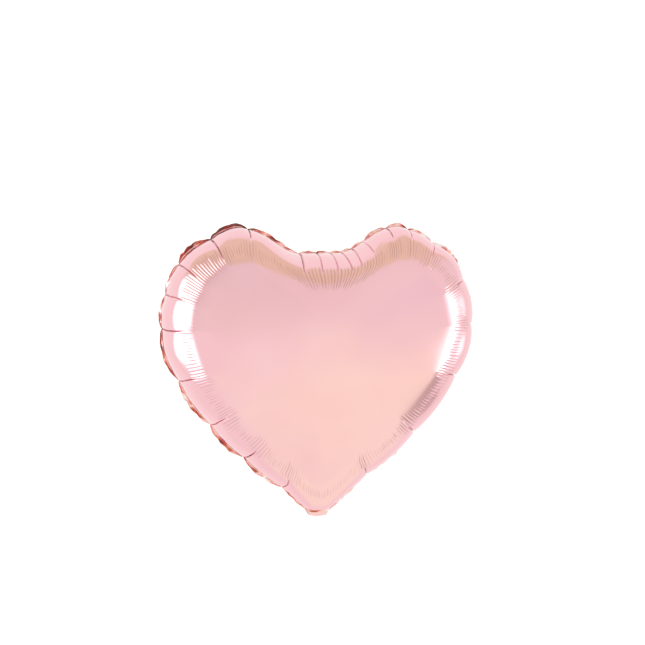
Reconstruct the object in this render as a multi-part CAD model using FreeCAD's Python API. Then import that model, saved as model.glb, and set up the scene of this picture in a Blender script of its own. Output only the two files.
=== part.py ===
"""Heart-shaped foil balloon, inflated, with its filling tail folded up behind it.

Two heart-shaped foil sheets are welded together along a flat margin and blown out into two domes. At the
bottom tip the sheets run on into a narrow tail. Two thin films lie between the sheets there. They carry the
gas in through the tail, and inside the balloon their free ends press together and seal it.

Row frame in millimetres: origin at the middle of the neck, where a ribbon is tied. +Z runs up through the
notch, the front faces -Y, and the weld lies in the plane Y = 0.
"""

import FreeCAD
import Part

import math
import os

V = FreeCAD.Vector
X_AXIS = V(1, 0, 0)
FRONT, REAR = -1, 1  # which side of the weld plane a piece lies on

# Driving dimensions of the body.
WIDTH = 398.0  # cut edge to cut edge, inflated
HALF_DEPTH = 76.0  # from the weld plane to the top of one dome
MARGIN = 5.0  # width of the welded margin
WALL = 0.6  # modelled thickness of a foil sheet
CENTRE_HEIGHT = 0.55 * WIDTH  # the domes' highest point
CROWN_RADIUS = 0.30 * WIDTH  # the crown's outlines grow round towards a circle of this radius

# The right half of the cut edge, from the notch round the lobe and down to the tip: X and Z as shares of
# WIDTH, then how far the rim swells there, as a share of its usual height.
HALF_OUTLINE = [
    (0.000, 0.838, 1.12),
    (0.085, 0.843, 1.10),
    (0.158, 0.886, 1.05),
    (0.250, 0.920, 1.00),
    (0.350, 0.880, 1.00),
    (0.445, 0.806, 1.00),
    (0.498, 0.675, 1.00),
    (0.500, 0.552, 1.00),
    (0.458, 0.437, 0.98),
    (0.368, 0.303, 0.92),
    (0.246, 0.176, 0.74),
    (0.118, 0.071, 0.50),
    (0.044, 0.010, 0.36),
]
TIP_SWELL = 0.32
TIP_SPREAD = 0.5  # near the tip, points moved inwards keep at least this share of their X
ROUNDING = 16  # smoothing passes that round the crown's outlines, at its middle
ROUND_FROM = 12.0  # distance in from the margin where the rim's outlines get one such pass

# Control points of a dome's section, as shares of HALF_DEPTH. The rim first, by distance in from the
# margin, then the crown, by how much is left of the rim's last outline.
RIM = [(0.0, 0.17), (2.5, 0.34), (9.0, 0.52), (19.0, 0.645), (28.0, 0.715)]
CROWN = [(0.95, 0.755), (0.86, 0.80), (0.72, 0.87), (0.52, 0.945), (0.30, 1.0), (0.12, 1.0)]
FLAT_SHARE = 0.3  # the crown is flat from here in

# The tail, as it hangs straight down from the neck.
NECK_WIDTH = 28.0
TAIL_END_WIDTH = 36.0
TAIL_LENGTH = 58.0
TAIL_CORNER = 5.0  # radius of the corners at its end
FOLD_ANGLE = 130.0  # how far it is folded back and up
FOLD_DROP = 2.0  # the fold line below the neck's cut edge
FOLD_BACK = 1.6  # and behind the weld plane
INLET_RADIUS = 5.0  # filling hole in the front sheet
INLET_HEIGHT = 16.0 - TAIL_LENGTH - FOLD_DROP

# The valve's two films.
FILM_WALL = 0.3
FILM_GAP = 0.1  # between the two films
FILM_SHORT = 8.0  # how far they stop short of the tail's end
FILM_WIDTH = 25.0
FILM_POCKET = 0.4  # depth of the room left for a film in each foil sheet
POCKET_SIDE = 0.5  # and beside it
LEAF_ROOT = 12.0  # height where a film's free end starts
LEAF_END = 112.0
LEAF_END_WIDTH = 21.0
HINGE_GAP = 0.3


def mirrored(half, last):
    """The points of a symmetric closed outline from its right half, which starts at the notch."""
    left = [(-x, z, swell) for x, z, swell in reversed(half[1:])]
    return half + [last] + left


OUTLINE = mirrored(HALF_OUTLINE, (0.0, 0.0, TIP_SWELL))
CUT_EDGE = [V(x * WIDTH, 0, z * WIDTH) for x, z, _ in OUTLINE]


def inward(i):
    """The step that takes point i of the cut edge inwards by 1 mm, measured square to the edge."""
    before, here, after = CUT_EDGE[i - 1], CUT_EDGE[i], CUT_EDGE[(i + 1) % len(CUT_EDGE)]
    first = V(before.z - here.z, 0, here.x - before.x).normalize() * -1
    second = V(here.z - after.z, 0, after.x - here.x).normalize() * -1
    return (first + second) * (1 / (1 + first.dot(second)))


def outline(inset, height=0.0, share=1.0):
    """The cut edge moved in by inset, then drawn towards the crown by share and rounded, at Y = height."""
    centre = V(0, 0, CENTRE_HEIGHT)
    count = len(CUT_EDGE)
    places = []
    for i, point in enumerate(CUT_EDGE):
        arm = point + inward(i) * inset - centre
        length = share * (arm.Length * share + CROWN_RADIUS * (1 - share))
        place = centre + arm.normalize() * length
        if abs(place.x) < TIP_SPREAD * share * abs(point.x):
            place.x = TIP_SPREAD * share * point.x
        places.append(place)
    for _ in range(round(ROUNDING * (1 - share)) + (inset > MARGIN + ROUND_FROM)):
        places = [(places[i - 1] + places[i] * 2 + places[(i + 1) % count]) * 0.25 for i in range(count)]
    flattening = share**4 if share > FLAT_SHARE and abs(height) > WALL else 0
    rises = [height * (1 - (1 - swell) * flattening) for _, _, swell in OUTLINE]
    return closed_poles([V(place.x, rise, place.z) for place, rise in zip(places, rises)])


def closed_poles(points):
    """Control points of the smooth closed cubic curve that runs through the points."""
    count = len(points)
    poles = list(points)
    for _ in range(30):
        reached = [(poles[i - 1] + poles[i] * 4 + poles[(i + 1) % count]) * (1 / 6) for i in range(count)]
        poles = [pole + point - near for pole, point, near in zip(poles, points, reached)]
    return poles


def closed_edge(poles):
    """The closed cubic curve with these control points, as an edge."""
    count = len(poles)
    curve = Part.BSplineCurve()
    curve.buildFromPolesMultsKnots(poles, [1] * (count + 1), [float(k) for k in range(count + 1)], True, 3)
    return curve.toShape()


def section(side, thinner):
    """The dome's section as (inset, share, height) control points, moved in by thinner."""
    line = [(MARGIN, 0.0)] + [(MARGIN + distance, height * HALF_DEPTH) for distance, height in RIM]
    moved = [(MARGIN + thinner, 1.0, side * (0.0 if thinner else WALL))]
    for (d0, h0), (d1, h1), (d2, h2) in zip(line, line[1:], line[2:]):
        run = math.hypot(d2 - d0, h2 - h0)
        moved.append((d1 + thinner * (h2 - h0) / run, 1.0, side * (h1 - thinner * (d2 - d0) / run)))
    last = line[-1][0] + 0.5 * thinner
    crown = [(1.0, RIM[-1][1])] + CROWN
    return moved + [(last, share, side * (height * HALF_DEPTH - thinner)) for share, height in crown]


def skin(side, thinner):
    """One side of a dome's foil as a face, with its lowest and highest edges as wires."""
    rows = [outline(inset, height, share) for inset, share, height in section(side, thinner)]
    around, inwards = len(rows[0]), len(rows)
    surface = Part.BSplineSurface()
    surface.buildFromPolesMultsKnots(
        [list(column) for column in zip(*rows)],
        [1] * (around + 1),
        [4] + [1] * (inwards - 4) + [4],
        [float(k) for k in range(around + 1)],
        [float(k) for k in range(inwards - 2)],
        True, False, 3, 3,
    )
    return surface.toShape(), Part.Wire([closed_edge(rows[0])]), Part.Wire([closed_edge(rows[-1])])


def ring(outer, inner):
    return Part.makeFace([outer, inner], "Part::FaceMakerBullseye")


def box(low, high):
    return Part.makeBox(*(high - low), low)


def foil_panel(side):
    """One foil sheet: a thin dome with the welded margin round it, and room for a film at the neck."""
    outer, outer_foot, outer_top = skin(side, 0.0)
    inner, inner_foot, inner_top = skin(side, WALL)
    low = closed_edge(outline(0.0))
    high = closed_edge(outline(0.0, side * WALL))
    faces = [
        outer,
        inner,
        Part.Face(outer_top),
        Part.Face(inner_top),
        ring(Part.Wire([low]), inner_foot),
        ring(Part.Wire([high]), outer_foot),
        Part.makeRuledSurface(low, high),
    ]
    shell = Part.makeShell(faces)
    shell.sewShape()
    solid = Part.makeSolid(shell)
    if solid.Volume < 0:
        solid.reverse()
    half = FILM_WIDTH / 2 + POCKET_SIDE
    pocket = box(V(-half, min(0, side * FILM_POCKET), -FOLD_DROP), V(half, max(0, side * FILM_POCKET), LEAF_ROOT))
    return solid.cut(pocket)


def strip(side, outside, inside, ends):
    """A flat strip lying from outside to inside (distances from the weld plane). ends are (z, width)."""
    (z0, width0), (z1, width1) = ends
    corners = [V(-width0 / 2, 0, z0), V(width0 / 2, 0, z0), V(width1 / 2, 0, z1), V(-width1 / 2, 0, z1)]
    face = Part.Face(Part.makePolygon(corners + corners[:1]))
    face.translate(V(0, side * inside, 0))
    return face.extrude(V(0, side * (outside - inside), 0))


def film(side, ends):
    return strip(side, FILM_GAP / 2 + FILM_WALL, FILM_GAP / 2, ends)


def inlet(radius):
    """The filling hole through the front half of the tail."""
    return Part.makeCylinder(radius, WALL + FILM_POCKET + 1, V(0, 0, INLET_HEIGHT), V(0, -1, 0))


def folded(shape):
    """A tail piece turned from hanging straight down to folded up behind the balloon."""
    turned = shape.copy()
    turned.rotate(V(0, FOLD_BACK, -FOLD_DROP), X_AXIS, FOLD_ANGLE)
    return turned


def tail_foil(side):
    """One foil sheet's run down the tail, with its corners rounded and room for a film."""
    end = -FOLD_DROP - TAIL_LENGTH
    thickness = WALL + FILM_POCKET
    sheet = strip(side, thickness, 0, [(-FOLD_DROP, NECK_WIDTH), (end, TAIL_END_WIDTH)])
    corners = [e for e in sheet.Edges if all(abs(v.Z - end) < 0.01 for v in e.Vertexes) and e.Length < 2 * WALL]
    sheet = sheet.makeFillet(TAIL_CORNER, corners)
    half = FILM_WIDTH / 2 + POCKET_SIDE
    pocket_end = end + FILM_SHORT - POCKET_SIDE
    sheet = sheet.cut(strip(side, FILM_POCKET, -1, [(0, 2 * half), (pocket_end, 2 * half)]))
    return sheet.cut(inlet(INLET_RADIUS)) if side == FRONT else sheet


NECK_FILM = [(0.0, FILM_WIDTH), (LEAF_ROOT - HINGE_GAP, FILM_WIDTH)]
LEAF = [(LEAF_ROOT, FILM_WIDTH), (LEAF_END, LEAF_END_WIDTH)]
TAIL_FILM = [(-FOLD_DROP, FILM_WIDTH), (FILM_SHORT - TAIL_LENGTH - FOLD_DROP, FILM_WIDTH)]

nodes = {
    "front_foil_panel": foil_panel(FRONT),
    "rear_foil_panel": foil_panel(REAR),
    "valve_front_neck_film": film(FRONT, NECK_FILM),
    "valve_rear_neck_film": film(REAR, NECK_FILM),
    "valve_front_leaf": film(FRONT, LEAF),
    "valve_rear_leaf": film(REAR, LEAF),
    "tail_front_foil": folded(tail_foil(FRONT)),
    "tail_rear_foil": folded(tail_foil(REAR)),
    "tail_valve_front_film": folded(film(FRONT, TAIL_FILM).cut(inlet(INLET_RADIUS))),
    "tail_valve_rear_film": folded(film(REAR, TAIL_FILM)),
}

os.makedirs("parts", exist_ok=True)
for name, shape in nodes.items():
    shape.exportStep(os.path.join("parts", name + ".step"))
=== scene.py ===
"""Looks of the heart-shaped foil balloon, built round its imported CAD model. Metres, in the CAD's frame."""

import math

import bpy
import numpy as np
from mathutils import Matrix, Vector

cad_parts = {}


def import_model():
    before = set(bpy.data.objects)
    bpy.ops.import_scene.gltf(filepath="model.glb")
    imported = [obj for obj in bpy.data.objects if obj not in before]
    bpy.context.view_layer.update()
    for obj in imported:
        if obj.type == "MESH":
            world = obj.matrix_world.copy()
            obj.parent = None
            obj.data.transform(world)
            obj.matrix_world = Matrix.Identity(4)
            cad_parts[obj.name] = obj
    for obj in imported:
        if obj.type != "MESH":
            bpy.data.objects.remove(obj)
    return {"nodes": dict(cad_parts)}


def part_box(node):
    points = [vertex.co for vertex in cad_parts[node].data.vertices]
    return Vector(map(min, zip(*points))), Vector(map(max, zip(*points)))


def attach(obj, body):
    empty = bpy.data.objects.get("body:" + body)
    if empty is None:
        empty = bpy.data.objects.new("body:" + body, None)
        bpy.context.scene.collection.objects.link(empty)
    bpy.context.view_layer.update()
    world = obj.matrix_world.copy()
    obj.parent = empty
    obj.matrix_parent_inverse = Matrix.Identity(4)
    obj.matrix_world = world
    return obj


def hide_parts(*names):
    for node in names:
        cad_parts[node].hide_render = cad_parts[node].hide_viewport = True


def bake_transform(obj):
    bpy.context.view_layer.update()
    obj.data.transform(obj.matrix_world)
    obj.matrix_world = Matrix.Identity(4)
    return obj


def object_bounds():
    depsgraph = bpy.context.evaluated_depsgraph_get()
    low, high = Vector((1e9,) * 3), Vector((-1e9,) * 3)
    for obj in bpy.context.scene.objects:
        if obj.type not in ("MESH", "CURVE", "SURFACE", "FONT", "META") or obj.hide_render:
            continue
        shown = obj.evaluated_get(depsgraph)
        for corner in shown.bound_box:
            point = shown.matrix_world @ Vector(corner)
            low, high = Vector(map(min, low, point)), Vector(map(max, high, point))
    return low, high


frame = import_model()
cad_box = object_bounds()

MM = 0.001
FRONT, REAR = -1, 1
panel_low, panel_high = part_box("front_foil_panel")
HALF_DEPTH = -panel_low.y
OUTLINE_SHARE = 0.9905  # of the panel's width, across the outline's points: the curve bulges past them
WIDTH = OUTLINE_SHARE * (panel_high.x - panel_low.x)

# The right half of the cut edge, from the notch round the lobe and down to the tip: X and Z as shares of
# WIDTH, then how far the rim swells there, as a share of its usual height.
HALF_OUTLINE = [
    (0.000, 0.838, 1.12),
    (0.085, 0.843, 1.10),
    (0.158, 0.886, 1.05),
    (0.250, 0.920, 1.00),
    (0.350, 0.880, 1.00),
    (0.445, 0.806, 1.00),
    (0.498, 0.675, 1.00),
    (0.500, 0.552, 1.00),
    (0.458, 0.437, 0.98),
    (0.368, 0.303, 0.92),
    (0.246, 0.176, 0.74),
    (0.118, 0.071, 0.50),
    (0.044, 0.010, 0.36),
]
TIP_SWELL = 0.32  # the same at the tip
TIP_SPREAD = 0.5  # near the tip, points moved inwards keep at least this share of their X
ROUNDING = 16  # smoothing passes that round the crown's outlines, at its middle
ROUND_FROM = 12 * MM  # distance in from the margin where the rim's outlines get one such pass
CENTRE_HEIGHT = 0.55 * WIDTH  # of the crown's middle
CROWN_RADIUS = 0.30 * WIDTH  # of the circle that the crown's outlines turn into
MARGIN = 5 * MM  # from the cut edge to the weld
RIM_INSET = MARGIN + 28 * MM  # from the cut edge to the crown

# A dome's section: distance in from the cut edge, what is left of the outline there, and the height as a
# share of HALF_DEPTH.
SECTION = [
    (MARGIN, 1.0, 0.0),
    (MARGIN, 1.0, 0.17),
    (MARGIN + 2.5 * MM, 1.0, 0.34),
    (MARGIN + 9 * MM, 1.0, 0.52),
    (MARGIN + 19 * MM, 1.0, 0.645),
    (RIM_INSET, 1.0, 0.715),
    (RIM_INSET, 0.95, 0.755),
    (RIM_INSET, 0.86, 0.80),
    (RIM_INSET, 0.72, 0.87),
    (RIM_INSET, 0.52, 0.945),
    (RIM_INSET, 0.30, 1.0),
    (RIM_INSET, 0.12, 1.0),
    (RIM_INSET, 0.0, 1.0),
]
FLAT_SHARE = 0.3  # outlines no larger than this share take no part in the rim's swell

COLUMNS = 1792  # round the weld
RIM_STEP = 2.0 * MM  # between rings on the rim
RIM_REACH = 88 * MM  # how far the fine rings go, along the foil
CROWN_RINGS = 20
HALVINGS = [0.0, 0.30, 0.50, 0.70, 0.85]  # where the crown's rings lose every second column

# Creases across the rim. Each is its place along one side, from the notch at 0 to the tip at 1, then how
# far in it reaches in mm, then its depth in mm.
RIGHT_CREASES = [
    (0.025, 26, 0.9), (0.048, 26, 1.1), (0.072, 26, 1.0), (0.100, 20, 0.7), (0.158, 10, 1.2),
    (0.206, 12, 0.9), (0.265, 20, 0.9), (0.367, 22, 1.9), (0.467, 14, 1.5), (0.586, 22, 1.7),
    (0.735, 18, 1.6), (0.869, 16, 1.6),
]
LEFT_CREASES = [
    (0.004, 24, 0.9), (0.040, 24, 1.1), (0.161, 12, 1.6), (0.245, 26, 1.7), (0.330, 22, 1.6),
    (0.398, 18, 1.3), (0.470, 24, 1.7), (0.586, 22, 1.8), (0.700, 20, 1.7), (0.800, 20, 1.7),
    (0.905, 16, 1.4),
]


# ---------------------------------------------------------------------------------------- base surface

POLE_PASSES = 40
WELD_SAMPLES, CROWDING_SAMPLES, SECTION_SAMPLES = 8001, 12001, 2001  # points that lengths are measured on
CROWDING = 1.8  # how much closer together the columns are at a crease
CROWDING_REACH = 2.2 * MM
NORMAL_SPAN = 6  # columns to each side that the weld's normals are smoothed over


def smooth(low, high, value):
    """0 up to low, 1 from high on, and a smooth rise between them."""
    t = np.clip((value - low) / (high - low), 0, 1)
    return t * t * (3 - 2 * t)


def bell(away, width):
    """1 at no distance away, fading to 0 at about twice the width."""
    return np.exp(-((away / width) ** 2))


def closed_poles(points):
    """Control points of the smooth closed cubic curve that runs through the points."""
    poles = points.copy()
    for _ in range(POLE_PASSES):
        poles += points - (np.roll(poles, 1, 0) + 4 * poles + np.roll(poles, -1, 0)) / 6
    return poles


def closed_basis(u, count):
    """Weights of a closed cubic curve's control points at the parameters u, one row per parameter."""
    weights = np.zeros((len(u), count))
    k = np.floor(u).astype(int)
    a = u - k
    shares = [(1 - a) ** 3, 3 * a**3 - 6 * a**2 + 4, -3 * a**3 + 3 * a**2 + 3 * a + 1, a**3]
    for step, share in enumerate(shares):
        np.add.at(weights, (np.arange(len(u)), (k + step - 1) % count), share / 6)
    return weights


def open_basis(v, count):
    """Weights of a clamped cubic curve's control points at the parameters v, from 0 to 1."""
    knots = np.concatenate([[0] * 3, np.linspace(0, 1, count - 2), [1] * 3])
    v = np.clip(v, 0, 1 - 1e-9)
    weights = [((v >= knots[i]) & (v < knots[i + 1])).astype(float) for i in range(len(knots) - 1)]
    for degree in (1, 2, 3):
        raised = []
        for i in range(len(weights) - 1):
            rise, fall = knots[i + degree] - knots[i], knots[i + degree + 1] - knots[i + 1]
            left = (v - knots[i]) / rise * weights[i] if rise > 0 else 0
            right = (knots[i + degree + 1] - v) / fall * weights[i + 1] if fall > 0 else 0
            raised.append(left + right)
        weights = raised
    return np.stack(weights, axis=1)


def outline_points():
    """Points of the whole cut edge, clockwise from the notch, and how far the rim swells at each."""
    half = np.array(HALF_OUTLINE)
    tip = np.array([[0.0, 0.0, TIP_SWELL]])
    left = half[:0:-1] * [-1, 1, 1]
    points = np.vstack([half, tip, left])
    return points[:, :2] * WIDTH, points[:, 2]


def inward_steps(points):
    """The step that takes each point of the cut edge inwards by 1, measured square to the edge."""
    along = np.roll(points, -1, 0) - points
    along /= np.linalg.norm(along, axis=1, keepdims=True)
    normal = np.stack([along[:, 1], -along[:, 0]], axis=1)
    before = np.roll(normal, 1, 0)
    return (normal + before) / (1 + (normal * before).sum(1, keepdims=True))


def section_row(points, swell, inset, share, height):
    """Points of one ring of the dome's control net."""
    centre = np.array([0, CENTRE_HEIGHT])
    arms = points + inward_steps(points) * inset - centre
    lengths = np.linalg.norm(arms, axis=1, keepdims=True)
    place = centre + arms / lengths * share * (lengths * share + CROWN_RADIUS * (1 - share))
    kept = TIP_SPREAD * share * points[:, 0]
    place[:, 0] = np.where(np.abs(place[:, 0]) < np.abs(kept), kept, place[:, 0])
    for _ in range(round(ROUNDING * (1 - share)) + (inset > MARGIN + ROUND_FROM)):
        place = (np.roll(place, 1, 0) + 2 * place + np.roll(place, -1, 0)) / 4
    flattening = share**4 if share > FLAT_SHARE else 0
    rise = height * HALF_DEPTH * (1 - (1 - swell) * flattening)
    return np.column_stack([place[:, 0], -rise, place[:, 1]])


def control_net():
    """The dome's control points, round the edge and then in to the middle of the crown."""
    points, swell = outline_points()
    return np.stack([closed_poles(section_row(points, swell, *row)) for row in SECTION], axis=1)


def weld_travel(net):
    """Fine parameters round the weld, and the distance along it to each."""
    fine = np.linspace(0, len(net), WELD_SAMPLES)
    edge = closed_basis(fine[:-1], len(net)) @ net[:, 0]
    steps = np.linalg.norm(np.roll(edge, -1, 0) - edge, axis=1)
    return fine, np.concatenate([[0], np.cumsum(steps)])


def crease_table():
    """Each crease as its distance along the weld, its reach and its depth, in order round the weld."""
    half = WELD_LENGTH / 2
    table = [(place * half, reach * MM, depth * MM) for place, reach, depth in RIGHT_CREASES]
    table += [(WELD_LENGTH - place * half, reach * MM, depth * MM) for place, reach, depth in LEFT_CREASES]
    return np.array(sorted(table))


def gap(along, place):
    """Signed distance along the weld from a place on it."""
    half = WELD_LENGTH / 2
    return (along - place + half) % WELD_LENGTH - half


def column_places():
    """Distances along the weld of the grid's columns, which crowd together at the creases."""
    even = np.linspace(0, WELD_LENGTH, CROWDING_SAMPLES)
    crowding = np.ones(len(even))
    for place in CREASES[:, 0]:
        crowding += CROWDING * bell(gap(even, place), CROWDING_REACH)
    travel = np.concatenate([[0], np.cumsum(crowding[1:] + crowding[:-1])])
    return np.interp(np.linspace(0, travel[-1], COLUMNS, endpoint=False), travel, even)


def ring_parameters(net):
    """Parameters in from the weld, even on the rim and wider on the crown, and how many are on the rim."""
    fine = np.linspace(0, 1, SECTION_SAMPLES)
    side = len(net) // 4
    line = open_basis(fine, net.shape[1]) @ net[side]
    travel = np.concatenate([[0], np.cumsum(np.linalg.norm(np.diff(line, axis=0), axis=1))])
    rim = np.arange(0, RIM_REACH, RIM_STEP)
    crown = np.linspace(rim[-1], travel[-1], CROWN_RINGS + 1)[1:]
    return np.interp(np.concatenate([rim, crown]), travel, fine), len(rim)


NET = control_net()
WELD_AT, WELD_TRAVEL = weld_travel(NET)
WELD_LENGTH = WELD_TRAVEL[-1]
CREASES = crease_table()
ALONG = column_places()
COLUMN_AT = np.interp(ALONG, WELD_TRAVEL, WELD_AT)
RING_AT, RIM_RINGS = ring_parameters(NET)
BASE = np.einsum("cp,rq,pqk->crk", closed_basis(COLUMN_AT, len(NET)), open_basis(RING_AT, NET.shape[1]), NET)
WELD = BASE[:, 0]


def outward_normals(points):
    """Unit normals in the weld's plane, pointing out of the heart, smoothed along it."""
    along = np.roll(points, -NORMAL_SPAN, 0) - np.roll(points, NORMAL_SPAN, 0)
    normal = np.column_stack([-along[:, 2], 0 * along[:, 0], along[:, 0]])
    return normal / np.linalg.norm(normal, axis=1, keepdims=True)


OUT = outward_normals(WELD)
INSET = np.linalg.norm((BASE - WELD[:, None])[:, :, ::2], axis=2)  # from the weld, as seen from the front


def near(place, reach):
    """1 at a place on the weld, fading to 0 further than reach along it."""
    return np.exp(-((gap(ALONG, place) / reach) ** 4))


# ------------------------------------------------------------------------------- creases and pillows

FULL_PILLOW = 55 * MM  # a pillow this long or longer stands out fully
LEAST_PILLOW = 0.2  # how much of that the shortest one does
ROUNDNESS = 0.6  # power of a pillow's fullness: the lower, the rounder it is
PULLED_IN = 0.6  # how far creases sit inside the smooth edge, as a share of the bulge
BULGE_REACH = [0, 6, 14, 26]  # mm in from the weld
BULGE = [3.2, 2.9, 1.5, 0.0]  # mm that a pillow's middle stands out there, in the heart's plane


def pillow_shape():
    """For each column, how full its pillow is there (0 at a crease, 1 midway) and the pillow's length."""
    places = CREASES[:, 0]
    after = np.searchsorted(places, ALONG, side="right")
    start = np.where(after == 0, places[-1] - WELD_LENGTH, places[after - 1])
    end = np.where(after == len(places), places[0] + WELD_LENGTH, places[after % len(places)])
    middle = (2 * (ALONG - start) / (end - start) - 1) ** 2
    return 1 - middle, end - start


FULLNESS, PILLOW_LENGTH = pillow_shape()
PILLOW_SIZE = np.clip(PILLOW_LENGTH / FULL_PILLOW, LEAST_PILLOW, 1.0)


def pillows():
    """How far the rim near the weld stands out in the heart's plane: most between creases, least at them."""
    height = np.interp(INSET / MM, BULGE_REACH, BULGE) * MM
    return height * PILLOW_SIZE[:, None] * (FULLNESS[:, None] ** ROUNDNESS - PULLED_IN)


FACET_SHARE = 0.85  # how straight the facets are
FACET_STARTS = 4 * MM, 20 * MM  # distances in over which they begin
FACET_ENDS = 36 * MM, 76 * MM  # and over which they fade away
EASING_PASSES = 70
EASING_REACH = 110 * MM  # along the weld, to each side of the notch
EASING_STARTS = 16 * MM, 28 * MM
EASING_ENDS = 48 * MM, 70 * MM


def straightened(points):
    """The points with the rim's inner part drawn straight from crease to crease, except round the tip."""
    places = CREASES[:, 0]
    columns = np.searchsorted(ALONG, places) % COLUMNS
    after = np.searchsorted(places, ALONG, side="right") % len(places)
    start, end = columns[after - 1], columns[after]
    length = (ALONG[end] - ALONG[start]) % WELD_LENGTH
    share = (((ALONG - ALONG[start]) % WELD_LENGTH) / length)[:, None, None]
    chord = points[start] * (1 - share) + points[end] * share
    weight = FACET_SHARE * smooth(*FACET_STARTS, INSET) * (1 - smooth(*FACET_ENDS, INSET))
    tip_pillow = np.searchsorted(places, WELD_LENGTH / 2, side="right") % len(places)
    weight *= (after != tip_pillow)[:, None]
    return points + weight[:, :, None] * (chord - points)


def eased(points):
    """The points with the bend from the rim into the crown drawn out below the notch, where it is short."""
    across = smooth(*EASING_STARTS, INSET)
    weight = near(0, EASING_REACH)[:, None] * across * (1 - smooth(*EASING_ENDS, INSET))
    for _ in range(EASING_PASSES):
        middle = (np.roll(points, 1, 1) + 2 * points + np.roll(points, -1, 1)) / 4
        points = points + weight[:, :, None] * (middle - points)
    return points


GROOVE_WIDTH = 0.58 * MM
GROOVE_GAIN = 1.5  # a groove's depth, as a multiple of its crease's


def grooves(seed):
    """Depth of the creases' own narrow grooves."""
    random = np.random.default_rng(seed)
    depth = np.zeros_like(INSET)
    for place, reach, deep in CREASES:
        reach *= random.uniform(0.85, 1.1)
        bend = random.uniform(-1.5, 1.5) * MM * np.sin(INSET / reach * 2)
        line = bell(gap(ALONG[:, None], place) + bend, GROOVE_WIDTH)
        depth += GROOVE_GAIN * deep * line * (1 - smooth(0.55 * reach, 1.1 * reach, INSET))
    return depth


RIBBED = [(-0.02, 0.06), (0.115, 0.145), (0.80, 0.882)]  # stretches of the weld, as shares of its length
RIBBED_EDGE = 0.004  # share over which a stretch fades at each end
RIB_PITCH = 4.2 * MM
RIB_DEPTH = 0.42 * MM
RIB_START, RIB_END = 16 * MM, 28 * MM  # distances in from the weld
RIB_RISE = -1 * MM, 4 * MM  # round the start, the distances where ribs begin and are full
RIB_FALL = -6 * MM, 2 * MM  # round the end, the distances where they fade and are gone
RIB_KNOTS = 30  # places round the weld where their strength is drawn
NOTCH_RIBS = 0.95  # their least strength at the notch
NOTCH_RIBS_REACH = 95 * MM
# How much sooner ribs start and later they end beside a crease, how much later both come at the notch,
# and how far along the weld each of the two holds.
BESIDE_START, BESIDE_END, BESIDE_REACH = 4 * MM, 7 * MM, 16 * MM
NOTCH_START, NOTCH_END, NOTCH_REACH = 5 * MM, 3 * MM, 100 * MM


def ribbed():
    """1 in the stretches where the ribs are long and strong, and 0 elsewhere."""
    share = gap(ALONG, 0) / WELD_LENGTH % 1
    found = np.zeros(COLUMNS)
    for low, high in RIBBED:
        for turn in (0, 1):
            place = share - turn
            rise = smooth(low, low + RIBBED_EDGE, place)
            found = np.maximum(found, rise * (1 - smooth(high - RIBBED_EDGE, high, place)))
    return found


def rib_strength(seed):
    """How strongly the fine ribs show along the weld: most beside creases and in the notch."""
    random = np.random.default_rng(seed)
    knots = random.uniform(0.25, 0.85, RIB_KNOTS)
    places = np.linspace(0, WELD_LENGTH, RIB_KNOTS + 1)
    strength = np.interp(ALONG, places, np.append(knots, knots[0]))
    for place in CREASES[:, 0]:
        strength = np.maximum(strength, near(place, random.uniform(9, 20) * MM))
    return np.maximum(np.maximum(strength, NOTCH_RIBS * near(0, NOTCH_RIBS_REACH)), ribbed())


def ribs(seed):
    """Depth of the comb of fine ribs where the rim turns into the crown."""
    random = np.random.default_rng(seed + 50)
    count = int(WELD_LENGTH / RIB_PITCH)
    jitter = np.cumsum(random.uniform(0.75, 1.25, count))
    travel = np.concatenate([[0], jitter / jitter[-1] * count])
    phase = np.interp(ALONG, np.linspace(0, WELD_LENGTH, count + 1), travel)
    which = np.floor(phase).astype(int) % count
    size = random.uniform(0.5, 1.0, count)[which]
    shift = random.uniform(-2, 2, count)[which] * MM
    wave = (0.5 - 0.5 * np.cos(2 * math.pi * (phase % 1))) ** 2
    by_creases = [near(place, BESIDE_REACH) for place in CREASES[:, 0]]
    beside = np.maximum(np.max(by_creases, axis=0), ribbed())
    notch = near(0, NOTCH_REACH)
    start = (RIB_START + shift - BESIDE_START * beside + NOTCH_START * notch)[:, None]
    end = (RIB_END + shift + BESIDE_END * beside + NOTCH_END * notch)[:, None]
    rise = smooth(start + RIB_RISE[0], start + RIB_RISE[1], INSET)
    window = rise * (1 - smooth(end + RIB_FALL[0], end + RIB_FALL[1], INSET))
    return RIB_DEPTH * (rib_strength(seed) * size * wave)[:, None] * window


def surface_normals(points):
    """Unit normals of a grid that closes on itself round its columns, pointing away from the gas."""
    round_it = np.roll(points, -1, 0) - np.roll(points, 1, 0)
    inwards = np.gradient(points, axis=1)
    normal = np.cross(inwards, round_it)
    size = np.linalg.norm(normal, axis=2, keepdims=True)
    return normal / np.maximum(size, 1e-12)


FOLDS_START = 3 * MM  # grooves and ribs are at their full depth this far in from the weld


def dome(depth):
    """The front sheet's dome with its folds of the given depth, from the weld to the crown's middle."""
    points = eased(straightened(BASE)) + OUT[:, None] * pillows()[:, :, None]
    normal = surface_normals(points)
    fade = smooth(0, FOLDS_START, np.linalg.norm(BASE - WELD[:, None], axis=2))
    return points - normal * (depth * fade)[:, :, None]


# ------------------------------------------------------------------------------------- welded margin

MARGIN_ROWS = 5
SHEET_GAP = 0.12 * MM  # from the weld's plane to each sheet
NECK_GAP = 0.5 * MM  # further than that at the neck
NECK_ALONG, NECK_INWARDS = 16 * MM, 20 * MM  # how far along the weld and in from it the neck reaches
TIP_FLAT = 22 * MM  # to each side of the tip, where the margin lies flat
LEAST_MARGIN, MARGIN_GAIN = 0.8, 5.2  # mm wide at a crease, and how much wider between creases

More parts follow.
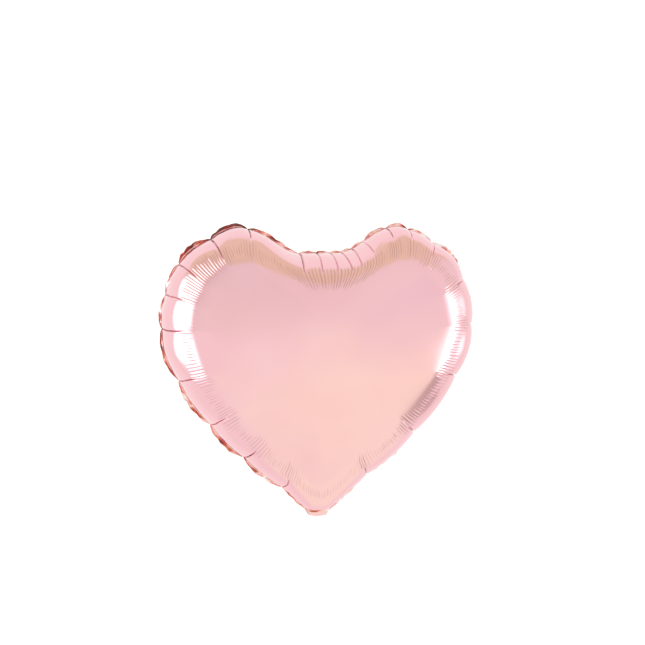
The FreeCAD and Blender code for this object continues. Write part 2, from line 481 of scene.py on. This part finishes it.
# Places round the weld as shares of its length, and the share of the margin's width that shows there.
MARGIN_SHARES = [
    (0.00, 0.55), (0.06, 0.60), (0.12, 0.85), (0.20, 0.50), (0.30, 0.45), (0.45, 0.45),
    (0.50, 0.40), (0.60, 0.80), (0.69, 0.80), (0.71, 0.55), (0.80, 0.50), (0.82, 0.40),
    (0.84, 0.85), (0.90, 0.75), (0.95, 0.75), (1.00, 0.55),
]
# How much painted coppery reflection, against pale painted glints, the margin shows round the weld, from the
# notch by the right lobe to the tip and back up.
COPPER_REFLECTION = [
    (0.00, 0.34), (0.05, 0.34), (0.08, 0.25), (0.10, 0.55), (0.12, 0.15), (0.20, 0.10),
    (0.45, 0.12), (0.50, 0.40), (0.56, 0.50), (0.69, 0.52), (0.71, 0.70), (0.76, 0.66),
    (0.80, 0.50), (0.804, 0.12), (0.832, 0.12), (0.838, 0.74), (0.874, 0.78), (0.88, 0.97),
    (0.918, 0.97), (0.922, 0.74), (0.95, 0.62), (0.97, 0.42), (1.00, 0.34),
]
MARGIN_FACET = 8 * MM  # length of the margin's facets, about
FACET_SLANT = 1.4 * MM  # along the weld from row to row
# How far each facet's painted reflection strays from that table.
REFLECTION_SPREAD = 0.45
WELD_OUT = WELD + OUT * pillows()[:, :1]


def round_weld(table):
    """For each column, the value at its place in a table of places round the weld."""
    return np.interp(ALONG / WELD_LENGTH, *np.array(table).T)


def facet_corners(random, step):
    """Unevenly spaced places round the weld, about step apart."""
    corners = np.cumsum(random.uniform(0.35, 1.65, int(WELD_LENGTH / step / 2) * 2))
    return corners / corners[-1] * WELD_LENGTH


def zigzag(random, step, low, high):
    """Straight runs from side to side between uneven corners, as one value for each column."""
    corners = facet_corners(random, step)
    values = random.uniform(low, high, len(corners)) * np.where(np.arange(len(corners)) % 2, 1, -1)
    return np.interp(ALONG, np.append(0, corners), np.append(values[-1], values))


def margin():
    """The crumpled welded margin: rows of points from the cut edge in to the weld."""
    random = np.random.default_rng(7)
    width = (LEAST_MARGIN + MARGIN_GAIN * FULLNESS**ROUNDNESS * np.sqrt(PILLOW_SIZE)) * MM
    width = width * round_weld(MARGIN_SHARES)
    width = width * (1 + 0.30 * zigzag(random, MARGIN_FACET, 0.0, 1.0))
    sway = zigzag(random, 11 * MM, 0.4, 2.0) * MM * (0.3 + 0.7 * FULLNESS)
    kink = zigzag(random, 14 * MM, 0.2, 1.0) * MM
    flat = 1 - near(WELD_LENGTH / 2, TIP_FLAT)
    rows = []
    for row in range(MARGIN_ROWS, 0, -1):
        share = row / MARGIN_ROWS
        lift = flat * (sway * share + kink * math.sin(math.pi * share))
        rows.append(WELD_OUT + OUT * (width * share)[:, None] + np.array([0, 1, 0]) * lift[:, None])
    return np.stack(rows, axis=1)


def margin_reflections():
    """Painted reflections on each point of the margin, facet by facet: pale glints at 0 up to deep coppery
    reflection and fold shade at 1.
    """
    random = np.random.default_rng(31)
    reflected_copper = round_weld(COPPER_REFLECTION)
    corners = facet_corners(random, MARGIN_FACET)
    values = random.uniform(-REFLECTION_SPREAD, REFLECTION_SPREAD, len(corners))
    rows = []
    for row in range(MARGIN_ROWS):
        slanted = (ALONG + row * FACET_SLANT) % WELD_LENGTH
        facet = values[np.searchsorted(corners, slanted) % len(corners)]
        # Painted streaks of reflection along each row.
        streak = 0.12 * zigzag(random, 5 * MM, 0.2, 1.0)
        rows.append(np.clip(reflected_copper + facet * (1 - 0.7 * reflected_copper) + streak, 0, 1))
    return np.stack(rows, axis=1)


# ----------------------------------------------------------------------------------- foil sheet mesh

# The painted crease shade deepens with a groove's depth and is full at this depth.
DEEP_GROOVE = 1.2 * MM  # a groove this deep is as dark as creases get


def new_mesh(name, vertices, faces, smooth_from=0):
    """A mesh, shaded smooth from the given face on and flat before it."""
    mesh = bpy.data.meshes.new(name)
    mesh.from_pydata(vertices, [], faces)
    mesh.update()
    mesh.polygons.foreach_set("use_smooth", np.arange(len(mesh.polygons)) >= smooth_from)
    return mesh


def placed(name, data):
    """A new object in the scene that shows the data."""
    made = bpy.data.objects.new(name, data)
    bpy.context.collection.objects.link(made)
    return made


def column_steps(ring_count):
    """For each ring of a sheet's grid, the step between its used columns: longer towards the middle."""
    cuts = [MARGIN_ROWS + RIM_RINGS + round(share * CROWN_RINGS) for share in HALVINGS]
    return [2 ** sum(ring >= cut for cut in cuts) for ring in range(ring_count)]


def thinned(values, steps):
    """A sheet's grid of values as one row per vertex: ring by ring, and then the crown's middle."""
    rings = [values[::step, ring] for ring, step in enumerate(steps)]
    return np.concatenate(rings + [values[:1, -1]])


def sheet_faces(steps):
    """Faces between a sheet's rings and round its middle. A ring may have half the columns of the last."""
    rings, middle = [], 0
    for step in steps:
        count = COLUMNS // step
        rings.append(range(middle, middle + count))
        middle += count
    faces = []
    for outer, inner in zip(rings, rings[1:]):
        n = len(inner)
        if n == len(outer):
            faces += [(outer[i], outer[(i + 1) % n], inner[(i + 1) % n], inner[i]) for i in range(n)]
            continue
        for i in range(n):
            a, b, c = outer[2 * i], outer[2 * i + 1], outer[(2 * i + 2) % len(outer)]
            d, e = inner[i], inner[(i + 1) % n]
            faces += [(a, b, d), (b, e, d), (b, c, e)]
    last = rings[-1]
    return faces + [(last[i], last[(i + 1) % len(last)], middle) for i in range(len(last))]


def parting():
    """How far a sheet stands off the weld's plane: furthest at the neck, where the tail comes out."""
    neck = near(WELD_LENGTH / 2, NECK_ALONG)[:, None] * (1 - smooth(0, NECK_INWARDS, INSET))
    return SHEET_GAP + NECK_GAP * np.hstack([np.repeat(neck[:, :1], MARGIN_ROWS, axis=1), neck])


def foil_sheet(name, side, seed):
    """One whole foil sheet: margin, rim and crown."""
    groove, rib = grooves(seed), ribs(seed)
    grid = np.concatenate([margin(), dome(groove + rib)], axis=1)
    grid[:, :, 1] *= np.where(np.arange(grid.shape[1]) < MARGIN_ROWS, 1, -side)[None, :]
    grid[:, :, 1] += side * parting()
    steps = column_steps(grid.shape[1] - 1)
    faces = sheet_faces(steps)
    if side == REAR:
        faces = [face[::-1] for face in faces]
    mesh = new_mesh(name, thinned(grid, steps).tolist(), faces, smooth_from=COLUMNS * MARGIN_ROWS)
    on_margin, on_dome = np.zeros((COLUMNS, MARGIN_ROWS)), np.zeros(INSET.shape)
    shades = {
        "weld": [on_margin + 1, on_dome],
        # Painted reflections of the margin, from pale glints to coppery fold shade.
        "painted_reflection": [margin_reflections(), on_dome],
        # Painted shade in the creases and along the ribs.
        "crease": [on_margin, np.clip(groove / DEEP_GROOVE, 0, 1)],
        "rib": [on_margin, np.clip(rib / RIB_DEPTH, 0, 1)],
    }
    for attribute, parts in shades.items():
        data = thinned(np.hstack(parts), steps).astype(np.float32)
        mesh.attributes.new(attribute, "FLOAT", "POINT").data.foreach_set("value", data)
    return placed(name, mesh)


# --------------------------------------------------------------------------------------- folded tail

TAIL_TOP = 4 * MM  # height where the tail's plies come out from between the sheets
FOLD_DROP, FOLD_BACK = 2 * MM, 1.6 * MM  # the fold line, below and behind the neck
FOLD_TURN = math.radians(130)
TAIL_LENGTH = 58 * MM  # from the fold to the end
NECK_HALF, END_HALF = 14 * MM, 18 * MM  # half widths
FOLD_PINCH, PINCH_REACH = 1.5 * MM, 5 * MM  # how much narrower each side is at the fold, and how far along
FOLD_LIFT, LIFT_REACH = 3.6 * MM, 8 * MM  # how much higher the fold's ends are than its middle
LIFT_POWER = 3  # the higher, the nearer to its ends the fold turns up
TAIL_CORNER = 5 * MM
FILM_HALF = 12.5 * MM
PLY_GAP = 0.5 * MM  # from the tail's middle plane to each ply, over the films
SEAM_GAP = 0.1 * MM  # the same beside them, where the plies are welded
INLET_AT, INLET_RADIUS = 42 * MM, 5 * MM
TAIL_COLUMNS, TAIL_STEP = 45, 0.8 * MM
HOLE_RINGS = 6  # rings of the grid that the inlet hole takes away
SPREAD_RINGS = 6  # and further ones that bend round it
FOLD_START = TAIL_TOP + FOLD_DROP
FOLD_END = FOLD_START + FOLD_BACK * FOLD_TURN
FOLD_MIDDLE = (FOLD_START + FOLD_END) / 2
FILM_EDGE = FILM_HALF + 0.2 * MM, FILM_HALF + 1.5 * MM  # where the plies close in beside the films
RIDGES = 26
CRINKLES_FULL = FOLD_END + 6 * MM  # distance along the tail where its ridges are at their full height


def tail_line(travel):
    """Y, Z and the turn of the tail's middle line, at distances along it."""
    turn = np.clip((travel - FOLD_START) / FOLD_BACK, 0, FOLD_TURN)
    before, after = np.minimum(travel, FOLD_START), np.maximum(travel - FOLD_END, 0)
    y = FOLD_BACK * (1 - np.cos(turn)) + after * np.sin(turn)
    z = TAIL_TOP - before - FOLD_BACK * np.sin(turn) - after * np.cos(turn)
    return y, z, turn


def tail_half_width(travel):
    """Half the tail's width at distances along it."""
    along = np.clip((travel - FOLD_END) / TAIL_LENGTH, 0, 1)
    half = NECK_HALF + (END_HALF - NECK_HALF) * along
    half -= FOLD_PINCH * bell(travel - FOLD_MIDDLE, PINCH_REACH)
    into_corner = np.clip(travel - (FOLD_END + TAIL_LENGTH - TAIL_CORNER), 0, TAIL_CORNER)
    return half - TAIL_CORNER + np.sqrt(TAIL_CORNER**2 - into_corner**2)


def opened(x, travel, row, column):
    """The grid with its lines bent round the inlet hole, and which of its points lie inside the hole."""
    down, across = np.indices(x.shape)
    down, across = down - row, across - column
    ring = np.maximum(np.abs(down), np.abs(across))
    angle = np.arctan2(down, across)
    radius = INLET_RADIUS * ring / HOLE_RINGS
    share = np.clip((HOLE_RINGS + SPREAD_RINGS - ring) / SPREAD_RINGS, 0, 1)
    new_x = x + share * (radius * np.cos(angle) - x)
    new_travel = travel + share * (FOLD_END + INLET_AT + radius * np.sin(angle) - travel)
    return new_x, new_travel, ring < HOLE_RINGS


def crinkles(x, travel, seed):
    """Height of the sharp little ridges on a ply, which run every way across it."""
    random = np.random.default_rng(seed)
    height = np.zeros_like(x)
    for _ in range(RIDGES):
        angle = random.uniform(0, math.pi)
        middle = random.uniform(-15, 15) * MM, FOLD_END + random.uniform(0, 1) * TAIL_LENGTH
        away = (x - middle[0]) * math.sin(angle) + (travel - middle[1]) * math.cos(angle)
        ahead = (x - middle[0]) * math.cos(angle) - (travel - middle[1]) * math.sin(angle)
        ridge = np.clip(1 - np.abs(away) / (random.uniform(1.5, 4) * MM), 0, 1)
        height += random.uniform(0.1, 0.35) * MM * ridge * bell(ahead, random.uniform(6, 16) * MM)
    return height


def tail_ply(name, side, seed):
    """One foil ply of the tail, folded up behind the balloon."""
    rows = round((FOLD_END + TAIL_LENGTH) / TAIL_STEP) + 1
    step = (FOLD_END + TAIL_LENGTH) / (rows - 1)
    travel = np.repeat(np.arange(rows)[:, None] * step, TAIL_COLUMNS, axis=1)
    x = tail_half_width(travel) * np.linspace(-1, 1, TAIL_COLUMNS)
    gone = np.zeros(x.shape, bool)
    if side == FRONT:
        row = round((FOLD_END + INLET_AT) / step)
        x, travel, gone = opened(x, travel, row, TAIL_COLUMNS // 2)
    over_films = 1 - smooth(*FILM_EDGE, np.abs(x))
    offset = SEAM_GAP + (PLY_GAP - SEAM_GAP) * over_films
    offset += crinkles(x, travel, seed) * smooth(FOLD_START, CRINKLES_FULL, travel)
    y, z, turn = tail_line(travel)
    fold = bell(travel - FOLD_MIDDLE, LIFT_REACH)
    z += FOLD_LIFT * fold * np.abs(x / tail_half_width(travel)) ** LIFT_POWER
    points = np.stack([x, y + side * offset * np.cos(turn), z + side * offset * np.sin(turn)], axis=2)
    number = np.arange(x.size).reshape(x.shape)
    faces = []
    for r in range(rows - 1):
        for c in range(TAIL_COLUMNS - 1):
            if not gone[r : r + 2, c : c + 2].any():
                corners = [number[r, c], number[r, c + 1], number[r + 1, c + 1], number[r + 1, c]]
                faces.append(corners if side == FRONT else corners[::-1])
    kept = np.flatnonzero(~gone.ravel())
    renumber = np.zeros(x.size, int)
    renumber[kept] = np.arange(len(kept))
    faces = [[int(renumber[corner]) for corner in face] for face in faces]
    return placed(name, new_mesh(name, points.reshape(-1, 3)[kept].tolist(), faces))


# ------------------------------------------------------------------------------------------ materials

ROSE = (0.945, 0.560, 0.600, 1)
ROSE_DEEP = (0.925, 0.525, 0.555, 1)
# The margin's painted reflections: coppery reflection, shade between folds, pink reflection and pale glints.
MARGIN_COPPER_REFLECTION = (0.62, 0.14, 0.09, 1)
MARGIN_FOLD_SHADE = (0.13, 0.045, 0.05, 1)
MARGIN_PINK_REFLECTION = (0.93, 0.50, 0.46, 1)
MARGIN_GLINT = (0.96, 0.80, 0.78, 1)
# Painted shade along the ribs and in the creases.
RIB_SHADE = (0.50, 0.26, 0.27, 1)
CREASE_SHADE = (0.38, 0.18, 0.20, 1)
FILM_DULL = (0.86, 0.88, 0.90, 1)
FILM_BRIGHT = (0.95, 0.96, 0.97, 1)


def new_material(name, values):
    """A material with the values on its shader. Gives the material, its node tree and the shader."""
    material = bpy.data.materials.new(name)
    material.use_nodes = True
    tree = material.node_tree
    shader = tree.nodes["Principled BSDF"]
    for key, value in values.items():
        shader.inputs[key].default_value = value
    return material, tree, shader


def node(tree, kind, **values):
    """A new node. Each value goes to the input with that name or, if there is none, to that setting."""
    made = tree.nodes.new(kind)
    for key, value in values.items():
        if key in made.inputs:
            made.inputs[key].default_value = value
        else:
            setattr(made, key, value)
    return made


def ramp(tree, value, stops):
    """A colour that follows a value output through the stops."""
    made = node(tree, "ShaderNodeValToRGB")
    elements = made.color_ramp.elements
    while len(elements) < len(stops):
        elements.new(0.5)
    for element, (at, colour) in zip(elements, stops):
        element.position = at
        element.color = colour
    tree.links.new(value, made.inputs["Fac"])
    return made.outputs["Color"]


def noise(tree, scale, detail):
    """A noise value that keeps to the piece."""
    place = node(tree, "ShaderNodeTexCoord")
    made = node(tree, "ShaderNodeTexNoise", Scale=scale, Detail=detail)
    tree.links.new(place.outputs["Object"], made.inputs["Vector"])
    return made.outputs["Fac"]


def painted(tree, name):
    """The value of one of the mesh's attributes."""
    return node(tree, "ShaderNodeAttribute", attribute_name=name).outputs["Fac"]


def mixed(tree, factor, first, second, blend="MIX"):
    """A colour mix. The factor and the two colours are each an output or a value."""
    mix = node(tree, "ShaderNodeMix", data_type="RGBA", blend_type=blend)
    for key, value in (("Factor", factor), ("A", first), ("B", second)):
        if isinstance(value, bpy.types.NodeSocket):
            tree.links.new(value, mix.inputs[key])
        else:
            mix.inputs[key].default_value = value
    return mix.outputs["Result"]


def scaled(tree, value, factor):
    """A value output times a factor."""
    times = node(tree, "ShaderNodeMath", operation="MULTIPLY")
    tree.links.new(value, times.inputs[0])
    times.inputs[1].default_value = factor
    return times.outputs[0]


def roughened(tree, shader, value, low, high):
    """Takes the shader's roughness from low to high with a value output."""
    rough = node(tree, "ShaderNodeMapRange")
    rough.inputs["To Min"].default_value = low
    rough.inputs["To Max"].default_value = high
    tree.links.new(value, rough.inputs["Value"])
    tree.links.new(rough.outputs["Result"], shader.inputs["Roughness"])


def foil_material():
    """Rose metal, with painted coppery reflections and pale painted glints on the margin, and painted shade
    in creases and ribs.
    """
    material, tree, shader = new_material("rose_foil", {"Metallic": 1.0})
    tint = ramp(tree, noise(tree, 9.0, 3.0), [(0.3, ROSE_DEEP), (0.7, ROSE)])
    # Painted reflections on the margin, from pale glints to coppery fold shade.
    reflection_stops = [(0.15, MARGIN_GLINT), (0.42, MARGIN_PINK_REFLECTION), (0.68, MARGIN_COPPER_REFLECTION), (0.92, MARGIN_FOLD_SHADE)]
    colour = mixed(tree, painted(tree, "weld"), tint, ramp(tree, painted(tree, "painted_reflection"), reflection_stops))
    # Painted shade: the foil darkens along the ribs and in the creases.
    for attribute, share, shade_colour in (("rib", 0.55, RIB_SHADE), ("crease", 0.34, CREASE_SHADE)):
        colour = mixed(tree, scaled(tree, painted(tree, attribute), share), colour, shade_colour)
    tree.links.new(colour, shader.inputs["Base Color"])
    roughened(tree, shader, noise(tree, 30.0, 4.0), 0.12, 0.17)
    return material


def film_material():
    """Thin clear film, faintly streaked."""
    material, tree, shader = new_material("valve_film", {"Alpha": 0.3, "IOR": 1.45})
    streak = noise(tree, 60.0, 3.0)
    tint = ramp(tree, streak, [(0.3, FILM_DULL), (0.7, FILM_BRIGHT)])
    tree.links.new(tint, shader.inputs["Base Color"])
    roughened(tree, shader, streak, 0.15, 0.35)
    return material


def stage_material():
    """Matt white that glows a little, so that the floor and backdrop stay pale all over."""
    values = {
        "Base Color": (0.9, 0.9, 0.9, 1),
        "Roughness": 0.9,
        "Emission Color": (1, 1, 1, 1),
        "Emission Strength": 0.25,
    }
    return new_material("pale_stage", values)[0]


# -------------------------------------------------------------------------------------------- pieces

FOIL = foil_material()
FILM = film_material()

for piece_name, side, seed, cad_node in (
    ("front_foil_sheet", FRONT, 11, "front_foil_panel"),
    ("rear_foil_sheet", REAR, 23, "rear_foil_panel"),
):
    piece = foil_sheet(piece_name, side, seed)
    piece.data.materials.append(FOIL)
    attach(piece, "envelope")
    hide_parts(cad_node)

for piece_name, side, seed, cad_node in (
    ("tail_front_foil_ply", FRONT, 3, "tail_front_foil"),
    ("tail_rear_foil_ply", REAR, 5, "tail_rear_foil"),
):
    piece = tail_ply(piece_name, side, seed)
    piece.data.materials.append(FOIL)
    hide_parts(cad_node)
    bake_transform(piece)

# The clear films keep their CAD shapes.
for name, cad in frame["nodes"].items():
    material = FOIL if name.startswith("tail_") and "film" not in name else FILM
    cad.data.materials.clear()
    cad.data.materials.append(material)


# ---------------------------------------------------------------------------- stage, lights, camera


def stage():
    """A seamless pale floor and backdrop."""
    front_y, floor_z, back_y, top_z, half, bend, steps = -1.5, -0.45, 1.6, 6.0, 6.0, 0.8, 12
    profile = [(front_y, floor_z)]
    for step in range(steps + 1):
        angle = math.radians(90 * step / steps)
        profile.append((back_y + bend * math.sin(angle), floor_z + bend * (1 - math.cos(angle))))
    profile.append((back_y + bend, top_z))
    vertices = [(x, y, z) for y, z in profile for x in (-half, half)]
    faces = [(2 * i, 2 * i + 1, 2 * i + 3, 2 * i + 2) for i in range(len(profile) - 1)]
    floor = placed("stage", new_mesh("stage", vertices, faces))
    floor.data.materials.append(stage_material())
    floor.visible_glossy = False  # the foil mirrors the studio's lights, not the floor


SOFTBOX_SHARES = (0.5, 0.8, 1.1, 1.4)  # width of each light in a softbox, as a share of the softbox's
SOFTBOX_SPACING = 0.02  # how much further away each is than the one in front, as a share of the distance
SOFTBOX_RADIANCE = 0.45
LIT_PLACE = Vector((0, 0, 0.2))


def softbox(name, place, width, height):
    """A soft light whose edges fade: wider and wider lights, one behind the other, turned to the balloon."""
    for step, share in enumerate(SOFTBOX_SHARES):
        light = bpy.data.lights.new(f"{name}_{step}", "AREA")
        light.shape = "RECTANGLE"
        light.size, light.size_y = width * share, height
        light.energy = SOFTBOX_RADIANCE * math.pi * light.size * light.size_y
        lamp = placed(light.name, light)
        lamp.location = Vector(place) * (1 + SOFTBOX_SPACING * step)
        lamp.rotation_euler = (LIT_PLACE - Vector(place)).to_track_quat("-Z", "Y").to_euler()
        lamp.visible_camera = False


HEIGHT_TINTS = [  # the light in front, by its height: from straight below at 0 to straight above at 1
    (0.42, (0.99, 1.02, 1.02, 1)),
    (0.48, (0.98, 1.03, 1.00, 1)),
    (0.68, (0.94, 0.97, 0.97, 1)),
    (0.77, (0.92, 0.94, 0.93, 1)),
    (0.81, (0.85, 0.85, 0.65, 1)),
    (0.975, (0.86, 0.86, 0.66, 1)),
    (0.988, (1.00, 1.03, 1.03, 1)),
]
BEHIND = (1.03, 1.08, 1.07, 1)  # the light behind the balloon
BEHIND_RANGE = -0.05, 0.15  # how far back a direction points where that light begins and is full
# Places in front where the light differs: direction, radius and soft edge in degrees, and tint.
PATCHES = [
    ((-0.50, -0.77, 0.40), 8, 32, (0.85, 0.82, 0.82, 1)),
    ((0.57, -0.82, -0.05), 5, 15, (0.94, 0.90, 0.97, 1)),
    ((0.34, -0.72, -0.60), 20, 24, (1.07, 1.15, 0.99, 1)),
    ((0.76, -0.38, -0.53), 9, 5, (0.60, 0.54, 0.58, 1)),
]


def ranged(tree, value, low, high):
    """A value output turned into 0 at low and 1 at high."""
    made = node(tree, "ShaderNodeMapRange")
    made.inputs["From Min"].default_value = low
    made.inputs["From Max"].default_value = high
    tree.links.new(value, made.inputs["Value"])
    return made.outputs["Result"]


def world():
    """Soft light from all round, tinted by height in front of the balloon. A camera sees plain white."""
    made = bpy.data.worlds.new("studio")
    bpy.context.scene.world = made
    made.use_nodes = True
    tree = made.node_tree
    place = node(tree, "ShaderNodeTexCoord")
    split = node(tree, "ShaderNodeSeparateXYZ")
    tree.links.new(place.outputs["Generated"], split.inputs["Vector"])
    colour = ramp(tree, ranged(tree, split.outputs["Z"], -1, 1), HEIGHT_TINTS)
    for direction, radius, edge, tint in PATCHES:
        nearness = node(tree, "ShaderNodeVectorMath", operation="DOT_PRODUCT")
        tree.links.new(place.outputs["Generated"], nearness.inputs[0])
        nearness.inputs[1].default_value = Vector(direction).normalized()
        inner, outer = math.cos(math.radians(radius)), math.cos(math.radians(radius + edge))
        inside = ranged(tree, nearness.outputs["Value"], outer, inner)
        colour = mixed(tree, inside, colour, mixed(tree, 1.0, colour, tint, "MULTIPLY"))
    colour = mixed(tree, ranged(tree, split.outputs["Y"], *BEHIND_RANGE), colour, BEHIND)
    path = node(tree, "ShaderNodeLightPath")
    colour = mixed(tree, path.outputs["Is Camera Ray"], colour, (1, 1, 1, 1))
    tree.links.new(colour, tree.nodes["Background"].inputs["Color"])


def camera():
    """The photograph's view: a little from the left and from above, with the balloon low in the frame."""
    yaw, pitch, distance = math.radians(-10), math.radians(5), 2.245
    aside, above = 0.006, 0.060  # how far the picture's middle is from the balloon's, across and up
    low, high = cad_box
    centre = Vector((0, 0, (low.z + high.z) / 2))
    back = Vector((math.sin(yaw) * math.cos(pitch), -math.cos(yaw) * math.cos(pitch), math.sin(pitch)))
    turn = (-back).to_track_quat("-Z", "Y")
    aim = centre + turn @ Vector((aside, above, 0))
    data = bpy.data.cameras.new("camera")
    data.lens = 100
    data.sensor_width = 36
    cam = placed("camera", data)
    cam.location = aim + back * distance
    cam.rotation_mode = "QUATERNION"
    cam.rotation_quaternion = turn
    bpy.context.scene.camera = cam


bpy.context.scene.view_settings.view_transform = "Standard"
stage()
world()
camera()
softbox("left_softbox", (-1.5, -0.8, 0.26), 1.0, 1.8)
softbox("right_softbox", (1.5, -0.8, 0.05), 0.9, 0.95)
